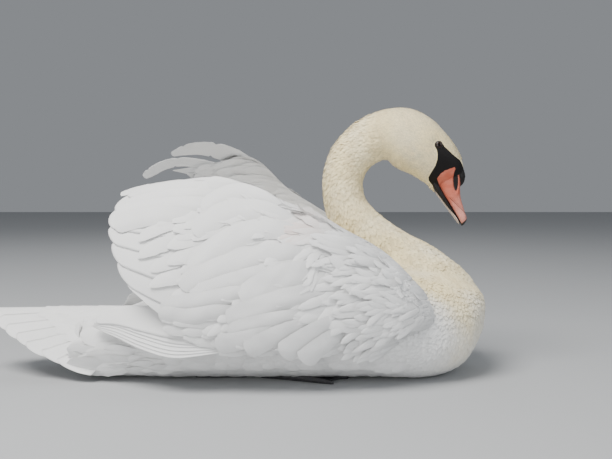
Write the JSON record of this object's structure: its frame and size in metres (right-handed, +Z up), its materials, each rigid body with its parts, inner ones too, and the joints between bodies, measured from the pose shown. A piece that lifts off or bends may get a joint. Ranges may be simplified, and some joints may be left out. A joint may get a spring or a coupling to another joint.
{
  "type": "mute swan",
  "caption": "Life-size mute swan at rest on its belly, neck in an S-curve with the bill held low, wings half raised over the back and tail fanned.",
  "frame": {"origin": "centre of the flat on which the belly rests, on the floor", "axes": "+X towards the breast, +Y the bird's left, +Z up"},
  "size_m": [0.7882, 0.3915, 0.4199],
  "materials": {
    "body_plumage": "matte white feathers",
    "neck_plumage": "matte cream feathers, short and velvety on the head",
    "bill": "satin salmon-orange horn with black edges",
    "black_horn": "satin black horn and bare skin",
    "eye": "wet dark brown",
    "foot_skin": "dark grey scaled skin"
  },
  "bodies": {
    "root": {"trunk": "body_plumage", "tail": "body_plumage", "neck_lower": "neck_plumage", "neck_middle": "neck_plumage", "neck_upper": "neck_plumage", "head": "neck_plumage", "bill_upper": "bill", "bill_nail": "black_horn", "bill_lower": "black_horn", "bill_knob": "black_horn", "eye_left": "eye", "eye_right": "eye", "wing_left_coverts": "body_plumage", "wing_left_secondaries": "body_plumage", "wing_left_primaries": "body_plumage", "wing_left_tertial_upper": "body_plumage", "wing_left_tertial_lower": "body_plumage", "wing_right_coverts": "body_plumage", "wing_right_secondaries": "body_plumage", "wing_right_primaries": "body_plumage", "wing_right_tertial": "body_plumage", "leg_left": "foot_skin", "leg_right": "foot_skin", "foot_left": "foot_skin", "foot_right": "foot_skin"}
  },
  "joints": []
}
